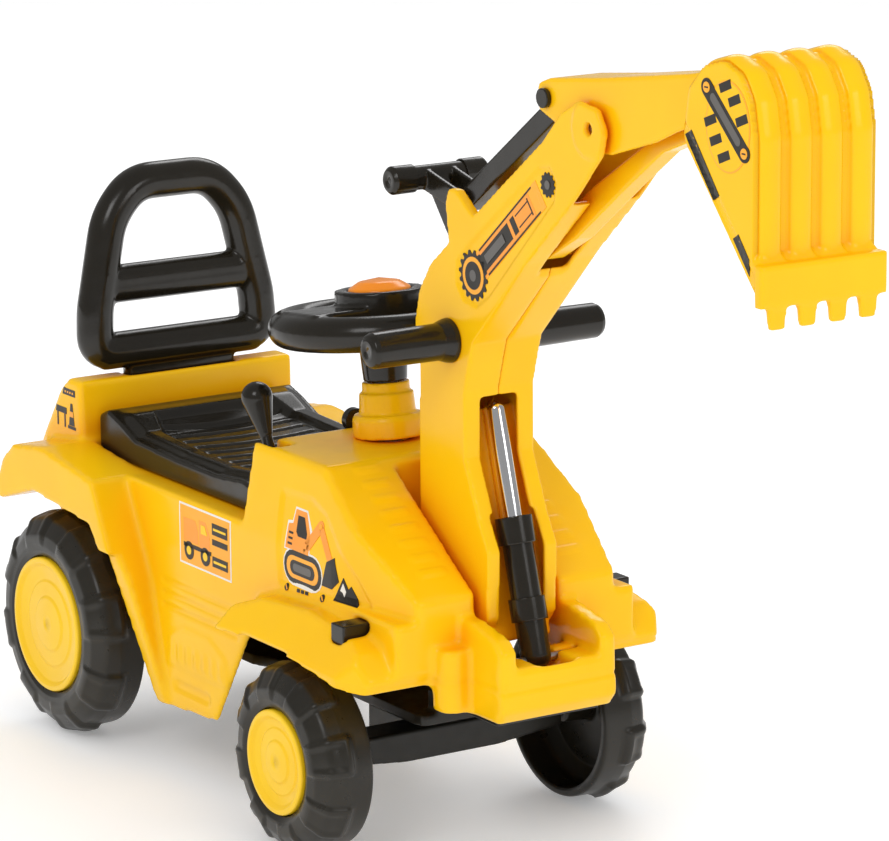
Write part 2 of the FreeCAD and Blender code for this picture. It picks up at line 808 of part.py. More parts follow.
def bucket_link():
    """The yellow link from inside the boom to the bucket. Its upper eye is
    a slot, where the linkage has play."""
    outline = [(-322, 466), (-328, 455), (-340, 456), (-376, 476),
               (-436, 520), (-480, 551), (-520, 566), (-566, 569),
               (-577, 574), (-574, 582), (-520, 576), (-474, 563),
               (-397, 516), (-336, 472)]
    bar = side_prism(outline, -8, 8, 3)
    line = link_head - link_foot
    line.normalize()
    eye = capsule(link_head - line * 2.0, link_head + line * 2.0, 4.4, -9, 9)
    return cut_all(bar, [eye, bar_x(link_foot, pin_r + run, -9, 9)])


# ---- front cylinder -----------------------------------------------------
def cylinder_barrel():
    """The black barrel, with the eye at its foot."""
    tube = strut(on_cylinder(2), on_cylinder(102), 11.3)
    foot = Part.makeSphere(11.3, on_cylinder(3))
    barrel = fuse_all([tube, foot])
    bore = strut(on_cylinder(14), on_cylinder(103), 7.0)
    return cut_all(barrel, [bore, bar_x(cylinder_foot, 3.0 + run, -20, 20)])


def cylinder_ring(low, high, radius):
    """A black ring round the barrel."""
    ring = strut(on_cylinder(low), on_cylinder(high), radius)
    return ring.cut(strut(on_cylinder(low - 1), on_cylinder(high + 1), 11.3))


def cylinder_rod():
    """The chromed rod, with the eye at its head."""
    rod = strut(on_cylinder(44), on_cylinder(cylinder_length), 6.7)
    head = Part.makeSphere(6.7, on_cylinder(cylinder_length))
    rod = fuse_all([rod, head])
    return rod


# ---- all the pieces -----------------------------------------------------
parts = {
    "body_shell": backrest_socket(body_shell()),
    "storage_bin": storage_bin(),
    "chassis_pan": chassis(),
    "column_collar": column_collar(),
    "backrest": backrest(),
    "seat_lid": seat_lid(),
    "seat_hinge_pins": Part.makeCompound(seat_hinge_pins()),
    "side_peg_left": side_peg(1),
    "side_peg_right": side_peg(-1),
    "pan_screws": body_screws(),
    "rear_axle": axle_rod(rear_axle_y, rear_wheel_r, rear_track, rear_wheel_w),
    "front_axle": axle_rod(front_axle_y, front_wheel_r, front_track,
                           front_wheel_w),
    "front_axle_beam": front_axle_beam(),
    "steering_column": steering_column(),
    "column_sleeve": column_sleeve(),
    "steering_wheel": steering_wheel(),
    "horn_button": horn_button(),
    "horn_spring": horn_spring(),
    "gear_lever": gear_lever(),
    "gear_lever_pin": gear_lever_pin(),
    "key_knob": key_knob(),
    "boom_shell_left": boom_shell(1),
    "boom_shell_right": boom_shell(-1),
    "boom_pivot_pin": boom_pivot_pin(),
    "lever_pivot_pin": short_pin(lever_pivot, pin_r, 27),
    "link_foot_pin": short_pin(link_foot, pin_r, 27),
    "stick_pivot_pin": short_pin(stick_pivot, pin_r, 27),
    "grip_tube": grip_tube(),
    "hand_lever": hand_lever(),
    "control_rod": control_rod(),
    "rod_joint_pin": short_pin(rod_joint, 3.0, 13),
    "stick": stick(),
    "stick_tail_pin": stick_tail_pin(),
    "bucket": bucket(),
    "bucket_pin": short_pin(bucket_pivot, pin_r, 40),
    "bucket_link": bucket_link(),
    "link_head_pin": short_pin(link_head, 3.0, 16),
    "cylinder_barrel": cylinder_barrel(),
    "cylinder_foot_pin": short_pin(cylinder_foot, 3.0, 44),
    "cylinder_ring_upper": cylinder_ring(84, 104, 13.7),
    "cylinder_ring_lower": cylinder_ring(28, 45, 13.5),
    "cylinder_rod": cylinder_rod(),
}
for name, side in side_sign.items():
    rear = rear_centres[name]
    front = front_centres[name]
    parts["rear_wheel_" + name] = wheel_tyre(rear, side, rear_wheel_r,
                                             rear_wheel_w, 54.6, 18)
    parts["rear_hub_" + name] = hub_cap(rear, side, rear_wheel_w, 54.6)
    parts["front_wheel_" + name] = wheel_tyre(front, side, front_wheel_r,
                                              front_wheel_w, 39.7, 16)
    parts["front_hub_" + name] = hub_cap(front, side, front_wheel_w, 39.7)
    parts["lower_grip_" + name] = lower_grip(side)
    parts["upper_grip_" + name] = upper_grip(side)
for name, centres, width in (("rear", rear_centres, rear_wheel_w),
                             ("front", front_centres, front_wheel_w)):
    nuts = [axle_nut(centres[key], side_sign[key], width) for key in centres]
    parts[name + "_axle_nuts"] = Part.makeCompound(nuts)

os.makedirs("parts", exist_ok=True)
for name, shape in parts.items():
    shape.exportStep("parts/" + name + ".step")
    print(name, shape.isValid(), len(shape.Solids), round(shape.Volume / 1000, 1))
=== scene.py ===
# Looks for the ride-on digger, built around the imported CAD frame.
# Metres, in the row frame: the front faces -Y, Z is up, X = 0 is the middle.
import bpy
import bmesh
import math
import numpy as np
from mathutils import Matrix, Vector
from mathutils.bvhtree import BVHTree


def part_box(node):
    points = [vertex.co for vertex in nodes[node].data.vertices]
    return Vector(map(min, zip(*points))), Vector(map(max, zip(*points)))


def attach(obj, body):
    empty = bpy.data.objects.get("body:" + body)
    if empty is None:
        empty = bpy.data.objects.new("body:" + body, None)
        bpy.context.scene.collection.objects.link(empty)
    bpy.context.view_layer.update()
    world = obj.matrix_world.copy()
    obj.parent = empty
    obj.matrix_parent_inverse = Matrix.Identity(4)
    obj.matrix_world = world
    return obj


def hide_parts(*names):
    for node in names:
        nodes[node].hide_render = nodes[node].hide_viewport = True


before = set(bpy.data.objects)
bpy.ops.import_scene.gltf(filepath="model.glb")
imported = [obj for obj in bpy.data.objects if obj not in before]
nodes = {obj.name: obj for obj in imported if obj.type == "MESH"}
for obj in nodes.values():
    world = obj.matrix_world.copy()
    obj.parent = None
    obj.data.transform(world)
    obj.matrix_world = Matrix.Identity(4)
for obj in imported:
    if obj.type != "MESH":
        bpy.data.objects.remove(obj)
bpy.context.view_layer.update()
MM = 0.001
# half way between the axles, in metres along Y
MID = (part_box("rear_axle")[0][1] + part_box("rear_axle")[1][1]
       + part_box("front_axle")[0][1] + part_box("front_axle")[1][1]) / 4

# wheel sizes and places in mm; rod_half is half the axle's length
WHEELS = {
    "rear": {"radius": 90.0, "hub": 54.6, "track": 115.0,
             "rod_half": 133.5, "body": "rolling_body"},
    "front": {"radius": 72.5, "hub": 39.7, "track": 124.0,
              "rod_half": 142.5, "body": "steering"}}
TREAD_PADS = 8
# the printed pictures are this thick, in mm, and are cut every PRINT_STEP m
PRINT_THICK = 0.7
PRINT_STEP = 0.004
# pivots and pieces of the boom, in mm: x, back, height
LOWER_GRIPS = (0, -248, 385)
UPPER_GRIPS = (0, -185, 493)
CYLINDER_FOOT = (0, -314, 158)
CYLINDER_HEAD = (0, -262, 335)
STICK_EYE = (-426, 562)
# half the bucket's width, and how many ribs run down its back
BUCKET_HALF_W = 49
BUCKET_RIBS = 4
# the steering column leans back by this angle from its foot on the dash
STEER_TILT = math.radians(6)
LEAN = Vector((0, math.sin(STEER_TILT), math.cos(STEER_TILT)))
COLUMN_FOOT = (0, -116, 285)
# the direction, place and lens of the camera
VIEW_AZIMUTH = math.radians(-32.508)
VIEW_ELEVATION = math.radians(12.959)
VIEW_ROLL = math.radians(-0.454)
VIEW_SPOT = (-1.74406, -2.93019, 1.05834)
VIEW_LENS = 183.32


def at(x, back, z):
    """A point x mm to the left, back mm behind mid-wheelbase, z mm up."""
    return Vector((x * MM, MID + back * MM, z * MM))


# ---- camera, floor and light --------------------------------------------
def set_camera():
    """A long lens from the front, the driver's right and a little above."""
    level = math.cos(VIEW_ELEVATION)
    back = Vector((math.sin(VIEW_AZIMUTH) * level,
                   -math.cos(VIEW_AZIMUTH) * level,
                   math.sin(VIEW_ELEVATION)))
    flat = Vector((math.cos(VIEW_AZIMUTH), math.sin(VIEW_AZIMUTH), 0.0))
    rise = back.cross(flat)
    right = flat * math.cos(VIEW_ROLL) + rise * math.sin(VIEW_ROLL)
    up = back.cross(right)
    data = bpy.data.cameras.new("camera")
    camera = bpy.data.objects.new("camera", data)
    bpy.context.scene.collection.objects.link(camera)
    spot = Vector(VIEW_SPOT) + Vector((0, MID, 0))
    basis = Matrix((right, up, back)).transposed().to_4x4()
    camera.matrix_world = Matrix.Translation(spot) @ basis
    data.sensor_width = 36.0
    data.lens = VIEW_LENS
    data.clip_end = 50.0
    bpy.context.scene.camera = camera


def area_light(name, spot, target, size, watts):
    """A soft rectangular lamp at spot, aimed at target (metres)."""
    data = bpy.data.lights.new(name, "AREA")
    data.shape = "RECTANGLE"
    data.size, data.size_y = size
    data.energy = watts
    lamp = bpy.data.objects.new(name, data)
    bpy.context.scene.collection.objects.link(lamp)
    lamp.location = spot
    aim = Vector(target) - Vector(spot)
    lamp.rotation_euler = aim.to_track_quat("-Z", "Y").to_euler()


def set_studio():
    """A white room with three soft lamps. Gloss sees a darker room than the
    camera does, so the plastic keeps its colour."""
    scene = bpy.context.scene
    scene.view_settings.view_transform = "Standard"
    world = bpy.data.worlds.new("studio")
    scene.world = world
    world.use_nodes = True
    tree = world.node_tree
    background = tree.nodes["Background"]
    background.inputs["Strength"].default_value = 1.0
    rays = node(tree, "ShaderNodeLightPath")
    tone = blended(tree, rays.outputs["Is Glossy Ray"], (0.93, 0.93, 0.93),
                   (0.34, 0.34, 0.34))
    tone = blended(tree, rays.outputs["Is Camera Ray"], tone,
                   (1.0, 1.0, 1.0))
    tree.links.new(tone, background.inputs["Color"])
    area_light("key", (-2.4, -1.6, 2.6), (0, 0.1, 0.3), (1.3, 1.3), 21.5)
    area_light("front", (0.6, -3.2, 1.5), (0, 0, 0.3), (1.2, 0.8), 9.5)
    area_light("rim", (1.8, 2.0, 2.2), (0, 0.1, 0.3), (1.5, 1.0), 14)
    mesh = bpy.data.meshes.new("floor")
    mesh.from_pydata([(-9, -9, 0), (9, -9, 0), (9, 9, 0), (-9, 9, 0)], [],
                     [(0, 1, 2, 3)])
    floor = bpy.data.objects.new("floor", mesh)
    scene.collection.objects.link(floor)
    floor.data.materials.append(floor_material())


# ---- materials ----------------------------------------------------------
def node(tree, kind, **values):
    """A new node, with values set on its inputs or else on itself."""
    made = tree.nodes.new(kind)
    for key, value in values.items():
        if key in made.inputs:
            made.inputs[key].default_value = value
        else:
            setattr(made, key, value)
    return made


def noise(tree, scale, detail=2.0):
    """Noise in the piece's own space, as a factor."""
    coords = node(tree, "ShaderNodeTexCoord")
    made = node(tree, "ShaderNodeTexNoise", Scale=scale, Detail=detail)
    tree.links.new(coords.outputs["Object"], made.inputs["Vector"])
    return made.outputs["Fac"]


def ranged(tree, source, low, high, from_low=0.3, from_high=0.7):
    """The source mapped from one range to another."""
    made = node(tree, "ShaderNodeMapRange")
    made.inputs["From Min"].default_value = from_low
    made.inputs["From Max"].default_value = from_high
    made.inputs["To Min"].default_value = low
    made.inputs["To Max"].default_value = high
    tree.links.new(source, made.inputs["Value"])
    return made.outputs["Result"]


def blended(tree, factor, first, second):
    """A mix of two colours, each a tuple or a socket."""
    made = node(tree, "ShaderNodeMix", data_type="RGBA")
    tree.links.new(factor, made.inputs["Factor"])
    for place, value in (("A", first), ("B", second)):
        socket = [s for s in made.inputs if s.name == place
                  and s.type == "RGBA"][0]
        if isinstance(value, tuple):
            socket.default_value = value + (1.0,)
        else:
            tree.links.new(value, socket)
    return [s for s in made.outputs if s.type == "RGBA"][0]


def surface(name, light, dark, rough=(0.2, 0.3), grain=600.0, depth=0.00003,
            wave=22.0, swell=0.0004, metal=0.0, spec=0.5, painted_recess_shade=None):
    """A moulded or metal surface: two close tones, uneven gloss, a fine
    grain and the slow swell of a blown or drawn wall. A recess colour,
    when given, is painted shade: the colour turns towards it where
    ambient occlusion finds other surfaces close by."""
    material = bpy.data.materials.new(name)
    material.use_nodes = True
    tree = material.node_tree
    shader = tree.nodes["Principled BSDF"]
    tone = ranged(tree, noise(tree, 14.0, 3.0), 0.0, 1.0)
    colour = blended(tree, tone, light, dark)
    # painted shade: where ambient occlusion is dark, in creases and recesses,
    # the colour is mixed towards the given orange shade colour
    if painted_recess_shade:
        hollow = node(tree, "ShaderNodeAmbientOcclusion", Distance=0.05,
                      samples=6)
        shade = ranged(tree, hollow.outputs["AO"], 1.0, 0.0, 0.15, 0.8)
        colour = blended(tree, shade, colour, painted_recess_shade)
    tree.links.new(colour, shader.inputs["Base Color"])
    gloss = ranged(tree, noise(tree, 90.0, 4.0), rough[0], rough[1])
    tree.links.new(gloss, shader.inputs["Roughness"])
    shader.inputs["Metallic"].default_value = metal
    shader.inputs["Specular IOR Level"].default_value = spec
    slow = node(tree, "ShaderNodeBump", Strength=1.0, Distance=swell)
    tree.links.new(noise(tree, wave, 1.0), slow.inputs["Height"])
    fine = node(tree, "ShaderNodeBump", Strength=1.0, Distance=depth)
    tree.links.new(noise(tree, grain, 2.0), fine.inputs["Height"])
    tree.links.new(slow.outputs["Normal"], fine.inputs["Normal"])
    tree.links.new(fine.outputs["Normal"], shader.inputs["Normal"])
    return material


def floor_material():
    """A pale floor that glows a little, so that it meets the white room."""
    paint = surface("floor_paint", (0.93, 0.93, 0.93), (0.91, 0.91, 0.91),
                    rough=(0.55, 0.65), grain=60.0, depth=0.0002, swell=0.0)
    shader = paint.node_tree.nodes["Principled BSDF"]
    shader.inputs["Emission Color"].default_value = (1, 1, 1, 1)
    shader.inputs["Emission Strength"].default_value = 0.22
    return paint


# the body yellow carries painted shade: an orange tint that ambient occlusion
# lays into creases and recesses
YELLOW = surface("yellow_plastic", (0.95, 0.55, 0.003),
                 (0.93, 0.51, 0.003), rough=(0.17, 0.27), spec=0.25,
                 painted_recess_shade=(0.95, 0.31, 0.002))
HUB_YELLOW = surface("hub_yellow_plastic", (0.93, 0.60, 0.012),
                     (0.90, 0.55, 0.010), rough=(0.28, 0.38), spec=0.34)
BLACK = surface("black_plastic", (0.014, 0.011, 0.006),
                (0.010, 0.008, 0.005), rough=(0.15, 0.25), spec=0.45)
TYRE = surface("tyre_plastic", (0.019, 0.016, 0.010),
               (0.014, 0.012, 0.008), rough=(0.26, 0.38), grain=900.0,
               spec=0.42)
SATIN = surface("satin_black_plastic", (0.014, 0.012, 0.008),
                (0.010, 0.009, 0.006), rough=(0.34, 0.46), spec=0.4)
ORANGE = surface("orange_plastic", (0.93, 0.30, 0.008),
                 (0.90, 0.26, 0.006), rough=(0.16, 0.26), spec=0.4)
CHROME = surface("chrome", (0.86, 0.86, 0.87), (0.80, 0.80, 0.82),
                 rough=(0.05, 0.12), grain=1500.0, depth=0.00001, metal=1.0,
                 swell=0.0001)
STEEL = surface("steel", (0.50, 0.50, 0.52), (0.42, 0.42, 0.44),
                rough=(0.28, 0.42), grain=2000.0, metal=1.0, swell=0.0001)
INK = surface("print_black", (0.016, 0.012, 0.007), (0.012, 0.009, 0.005),
              rough=(0.30, 0.40), swell=0.0002, spec=0.4)
INK_ORANGE = surface("print_orange", (0.94, 0.34, 0.035),
                     (0.91, 0.31, 0.030), rough=(0.26, 0.36), swell=0.0002,
                     spec=0.35)
INK_AMBER = surface("print_amber", (0.95, 0.42, 0.022),
                    (0.93, 0.39, 0.020), rough=(0.26, 0.36), swell=0.0002,
                    spec=0.35)
INK_GREY = surface("print_grey", (0.115, 0.105, 0.095),
                   (0.095, 0.088, 0.080), rough=(0.30, 0.40), swell=0.0002)
INK_WHITE = surface("print_white", (0.86, 0.83, 0.76), (0.80, 0.77, 0.70),
                    rough=(0.30, 0.40), swell=0.0002)


# ---- building pieces ----------------------------------------------------
def finished(name, mesh, material, body, replaced=(), smooth=True):
    """A visual piece from the mesh, riding on its body."""
    piece = bpy.data.objects.new(name, mesh)
    bpy.context.scene.collection.objects.link(piece)
    mesh.materials.clear()
    mesh.materials.append(material)
    mesh.polygons.foreach_set("use_smooth", [smooth] * len(mesh.polygons))
    mesh.update()
    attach(piece, body)
    if replaced:
        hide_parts(*replaced)
    return piece


def cad_mesh(*names):
    """One welded mesh with copies of these CAD nodes' meshes."""
    work = bmesh.new()
    for name in names:
        work.from_mesh(nodes[name].data)
    bmesh.ops.remove_doubles(work, verts=work.verts, dist=1e-6)
    mesh = bpy.data.meshes.new(names[0])
    work.to_mesh(mesh)
    work.free()
    return mesh


def softened(mesh, voxel, rounds, relief=None):
    """The mesh's outer skin, remeshed evenly and with its edges rounded.
    relief moves the points: it takes their places (mm) and normals."""
    holder = bpy.data.objects.new("holder", mesh)
    bpy.context.scene.collection.objects.link(holder)
    grid = holder.modifiers.new("grid", "REMESH")
    grid.mode = "VOXEL"
    grid.voxel_size = voxel * MM
    ease = holder.modifiers.new("ease", "SMOOTH")
    ease.factor = 0.5
    ease.iterations = rounds
    graph = bpy.context.evaluated_depsgraph_get()
    made = bpy.data.meshes.new_from_object(holder.evaluated_get(graph))
    bpy.data.objects.remove(holder)
    if relief:
        count = len(made.vertices)
        places = np.empty(count * 3)
        made.vertices.foreach_get("co", places)
        normals = np.empty(count * 3)
        made.vertices.foreach_get("normal", normals)
        places = places.reshape(-1, 3) / MM
        places[:, 1] -= MID / MM
        moved = relief(places, normals.reshape(-1, 3))
        moved[:, 1] += MID / MM
        made.vertices.foreach_set("co", (moved * MM).ravel())
        made.update()
    return made


def filleted(points, radius, steps=4, closed=True):
    """The outline with its corners turned into arcs. A point may carry its
    own radius as a third value."""
    out = []
    count = len(points)
    for i, point in enumerate(points):
        corner = Vector(point[:2])
        r = point[2] if len(point) > 2 else radius
        if (not closed and i in (0, count - 1)) or r <= 0:
            out.append(tuple(corner))
            continue
        before = Vector(points[i - 1][:2]) - corner
        after = Vector(points[(i + 1) % count][:2]) - corner
        half = before.angle(after) / 2
        if half < 0.02 or half > 1.55:
            out.append(tuple(corner))
            continue
        room = 0.46 * min(before.length, after.length)
        trim = min(r / math.tan(half), room)
        start = corner + before.normalized() * trim
        end = corner + after.normalized() * trim
        for k in range(steps + 1):
            t = k / steps
            out.append(tuple(start * (1 - t) ** 2 + corner * 2 * t * (1 - t)
                             + end * t ** 2))
    return out


def lathe(profile, centre, axis, turns=96, closed=False, relief=None):
    """A turned mesh. The profile holds (along the axis, radius) in mm."""
    axis = Vector(axis).normalized()
    side = axis.orthogonal().normalized()
    other = axis.cross(side)
    verts = []
    faces = []
    count = len(profile)
    for i in range(turns):
        angle = 2 * math.pi * i / turns
        spoke = side * math.cos(angle) + other * math.sin(angle)
        for along, radius in profile:
            if relief:
                along, radius = relief(along, radius, angle)
            verts.append(centre + axis * along * MM + spoke * radius * MM)
    last = count if closed else count - 1
    for i in range(turns):
        a, b = i * count, ((i + 1) % turns) * count
        for j in range(last):
            k = (j + 1) % count
            faces.append((a + j, b + j, b + k, a + k))
    mesh = bpy.data.meshes.new("turned")
    mesh.from_pydata(verts, [], faces)
    work = bmesh.new()
    work.from_mesh(mesh)
    bmesh.ops.remove_doubles(work, verts=work.verts, dist=1e-6)
    bmesh.ops.recalc_face_normals(work, faces=work.faces)
    work.to_mesh(mesh)
    work.free()
    return mesh


def joined(*meshes):
    """One mesh with all of these in it."""
    work = bmesh.new()
    for mesh in meshes:
        work.from_mesh(mesh)
    out = bpy.data.meshes.new("joined")
    work.to_mesh(out)
    work.free()
    return out


def disc(back, z, radius, count=28, squash=1.0):
    """A circle's outline, or an ellipse's, squashed along the toy."""
    return [(back + radius * squash * math.cos(2 * math.pi * i / count),
             z + radius * math.sin(2 * math.pi * i / count))
            for i in range(count)]


def toothed(back, z, radius, teeth, depth):
    """A gear's outline."""
    out = []
    for i in range(teeth * 4):
        angle = 2 * math.pi * (i + 0.5) / (teeth * 4)
        r = radius if i % 4 in (0, 1) else radius - depth
        out.append((back + r * math.cos(angle), z + r * math.sin(angle)))
    return out


def strip(start, end, half, round_ends=True):
    """A straight band from start to end, `half` mm each side of its line."""
    a, b = Vector(start), Vector(end)
    run = (b - a).normalized()
    across = Vector((-run.y, run.x)) * half
    if not round_ends:
        return [tuple(p) for p in (a + across, b + across, b - across,
                                   a - across)]
    heading = math.atan2(run.y, run.x)
    out = []
    for centre, turn in ((b, -0.5), (a, 0.5)):
        for k in range(9):
            angle = heading + math.pi * (turn + k / 8)
            out.append((centre.x + half * math.cos(angle),
                        centre.y + half * math.sin(angle)))
    return out


def label(name, target, body, material, shapes, side, lift):
    """Thin printed shapes laid on the outer side of the target. shapes are
    outlines of (back, height) points; lift is how proud they stand (mm)."""
    tree = BVHTree.FromPolygons([v.co for v in target.data.vertices],
                                [p.vertices for p in target.data.polygons])
    work = bmesh.new()
    for shape in shapes:
        ring = [work.verts.new(at(side * 200, b, z)) for b, z in shape]
        area = sum(shape[i - 1][0] * shape[i][1]
                   - shape[i][0] * shape[i - 1][1]
                   for i in range(len(shape)))
        if (area > 0) != (side > 0):
            ring.reverse()
        work.faces.new(ring)
    low = [min(v.co[i] for v in work.verts) for i in range(3)]
    high = [max(v.co[i] for v in work.verts) for i in range(3)]
    for i, normal in ((1, (0, 1, 0)), (2, (0, 0, 1))):
        place = low[i] + PRINT_STEP
        while place < high[i]:
            spot = [0, 0, 0]
            spot[i] = place
            bmesh.ops.bisect_plane(
                work, geom=work.verts[:] + work.edges[:] + work.faces[:],
                plane_co=spot, plane_no=normal)
            place += PRINT_STEP
    for vert in work.verts:
        hit = tree.ray_cast(vert.co, Vector((-side, 0, 0)))[0]
        vert.co.x = (hit.x if hit else 0.0) + side * lift * MM
    grown = bmesh.ops.extrude_face_region(work, geom=work.faces[:])
    for item in grown["geom"]:
        if isinstance(item, bmesh.types.BMVert):
            item.co.x -= side * PRINT_THICK * MM
    bmesh.ops.recalc_face_normals(work, faces=work.faces)
    bmesh.ops.triangulate(work, faces=work.faces)
    mesh = bpy.data.meshes.new(name)
    work.to_mesh(mesh)
    work.free()
    return finished(name, mesh, material, body, smooth=False)


def picture(name, target, body, layers):
    """The same printed picture on both sides of the toy. Each layer is
    (material, slot, lift, shapes)."""
    for side, word in ((1, "left"), (-1, "right")):
        piece = target[word] if isinstance(target, dict) else target
        for i, (material, slot, lift, shapes) in enumerate(layers):
            label("%s_%d_%s" % (name, i, word), piece, body, material,
                  shapes, side, lift)


# ---- reliefs ------------------------------------------------------------
# Outlines are (back, height) in mm, as everywhere on the toy's sides. A
# relief takes the points' places in mm (x, back, height) and their normals.
CHEEK = [(-120, 259), (-163, 261), (-186, 253), (-208, 234), (-230, 214),
         (-248, 192), (-170, 191), (-126, 188)]
BOOM_PANEL = [(-257, 428), (-266, 417), (-284, 414), (-300, 424),
              (-383, 505), (-386, 520), (-377, 530), (-364, 528),
              (-278, 463), (-258, 446)]


def step(value, low, high):
    """0 below low, 1 above high, smooth between them."""
    t = np.clip((value - low) / (high - low), 0.0, 1.0)
    return t * t * (3 - 2 * t)


def inside(points, outline, edge):
    """1 well inside the outline, 0 outside it, over a band of edge mm."""
    outline = np.array(outline, float)
    nearest = np.full(len(points), 1e9)
    within = np.zeros(len(points), bool)
    for i in range(len(outline)):
        a, b = outline[i - 1], outline[i]
        run = b - a
        t = np.clip(((points - a) @ run) / (run @ run), 0, 1)
        nearest = np.minimum(nearest, np.linalg.norm(
            points - a - t[:, None] * run, axis=1))
        crosses = (a[1] > points[:, 1]) != (b[1] > points[:, 1])
        rise = b[1] - a[1] if b[1] != a[1] else 1e-9
        reach = run[0] * (points[:, 1] - a[1]) / rise + a[0]
        within ^= crosses & (points[:, 0] < reach)
    return step(np.where(within, nearest, -nearest), 0.0, edge)


def groove(points, start, end, half):
    """1 on the line from start to end, 0 beyond half mm from it."""
    a, b = np.array(start, float), np.array(end, float)
    run = b - a
    t = np.clip(((points - a) @ run) / (run @ run), 0, 1)
    away = np.linalg.norm(points - a - t[:, None] * run, axis=1)
    return 1 - step(away, 0.25 * half, half)


def body_relief(p, n):
    """The sunk cheek panels, side grooves, steps and seams of the body."""
    side = np.sign(p[:, 0])
    out = (n[:, 0] * side > 0.72) & (np.abs(p[:, 0]) > 88)
    flat = p[:, 1:]
    dip = 1.6 * inside(flat, CHEEK, 3.0)
    for height in (152.5, 142.5, 132.5):
        dip = np.maximum(dip, 1.5 * groove(flat, (52, height), (-62, height),
                                           3.2))
    dip = np.maximum(dip, 2.0 * groove(flat, (34, 71), (-14, 71), 6.5))
    arch = inside(flat, [(50, 84), (46, 112), (20, 124), (-20, 124),
                         (-46, 112), (-54, 84)], 5.0)
    ridges = 0.5 + 0.5 * np.cos(p[:, 1] * 2 * np.pi / 13.0)
    dip = dip - arch * (1.2 + 0.9 * ridges * inside(
        flat, [(44, 90), (40, 108), (-40, 108), (-46, 90)], 4.0))
    p[:, 0] -= side * dip * out
    # ladder steps beside the slot, on the sloping top of the hood
    top = (n[:, 2] > 0.5) & (n[:, 1] < -0.2) & (p[:, 1] < -176)
    column = step(np.abs(p[:, 0]), 46, 49) * (1 - step(np.abs(p[:, 0]),
                                                       68, 71))
    bars = step(np.cos(p[:, 2] * 2 * np.pi / 8.5), -0.2, 0.5)
    p[:, 2] += 0.9 * top * column * bars * step(p[:, 2], 214, 218)
    # moulding line round the bumper
    front = (np.abs(n[:, 2]) < 0.5) & (p[:, 1] < -262)
    line = 1 - step(np.abs(p[:, 2] - 147), 0.4, 2.0)
    p -= n * (0.8 * line * front)[:, None]
    return p


def boom_relief(p, n):
    """The sunk panel on each side of the boom."""
    side = np.sign(p[:, 0])
    out = (n[:, 0] * side > 0.8) & (np.abs(p[:, 0]) > 24)
    flat = p[:, 1:]
    panel = inside(flat, BOOM_PANEL, 2.5)
    p[:, 0] -= side * 1.8 * panel * out
    eye = np.hypot(p[:, 1] - STICK_EYE[0], p[:, 2] - STICK_EYE[1])
    p[:, 0] += side * 1.4 * out * (1 - step(eye, 19, 22))
    return p


def bucket_relief(p, n):
    """The round backs of the four ribs, and the sunk side panels."""
    pitch = 2 * BUCKET_HALF_W / BUCKET_RIBS
    across = ((p[:, 0] + BUCKET_HALF_W) % pitch) / pitch * 2 - 1
    fall = 4.2 * across ** 2
    outer = (n[:, 1] * (p[:, 1] + 590) + n[:, 2] * (p[:, 2] - 560) > 0.25)
    back = outer & ((n[:, 1] < -0.3) | (n[:, 2] > 0.3))
    wide = np.abs(p[:, 0])
    ribbed = step(p[:, 2], 506, 512) * (wide < BUCKET_HALF_W + 0.5)
    p -= n * (fall * back * ribbed)[:, None]
    side = np.sign(p[:, 0])
    flank = (n[:, 0] * side > 0.8) & (wide > BUCKET_HALF_W - 4)
    band = inside(p[:, 1:], [(-556, 586), (-562, 590), (-640, 498),
                             (-636, 490)], 1.6)
    p[:, 0] -= side * 1.0 * flank * band
    return p


def seat_relief(p, n):
    """Cross grooves inside a raised border, with soft side rolls."""
    wide = np.abs(p[:, 0])
    top = step(n[:, 2], 0.25, 0.6)
    field = inside(p[:, :2], [(-66, -38), (-63, 120), (-54, 152),
                              (54, 152), (63, 120), (66, -38)], 5.0)
    lines = np.zeros(len(p))
    for i in range(10):
        place = 132 - i * 18.0
        bow = place + 8.0 * (p[:, 0] / 60) ** 2
        lines = np.maximum(lines, 1 - step(np.abs(p[:, 1] - bow), 0.8, 3.4))
    ends = 1 - step(wide, 50, 56)
    rise = 5.0 * (1 - field) * (1 - step(wide, 72, 82)) * step(
        p[:, 1], -52, -40) * (1 - step(p[:, 1], 150, 172))
    rise -= 2.7 * lines * field * ends
    p[:, 2] += rise * top
    return p


# ---- yellow body --------------------------------------------------------
def add_moulding(name, cad, body, material, voxel, rounds, relief=None):
    """A softened copy of one or more CAD nodes, shown in their place."""
    cad = cad if isinstance(cad, tuple) else (cad,)
    mesh = softened(cad_mesh(*cad), voxel, rounds, relief)
    return finished(name, mesh, material, body, cad)


def side_truck(b, z):
    """A generic dump truck, drawn from its lower rear corner."""
    box = [(b - 8, z + 20), (b - 8, z + 38), (b - 26, z + 38),
           (b - 30, z + 30), (b - 30, z + 20)]
    cab = [(b - 32, z + 18), (b - 32, z + 40), (b - 42, z + 40),
           (b - 48, z + 30), (b - 48, z + 18)]
    pane = [(b - 35, z + 30), (b - 35, z + 37), (b - 41, z + 37),
            (b - 44.5, z + 30)]
    frame_bar = strip((b - 8, z + 17), (b - 50, z + 17), 1.6, False)
    return box, cab, pane, frame_bar


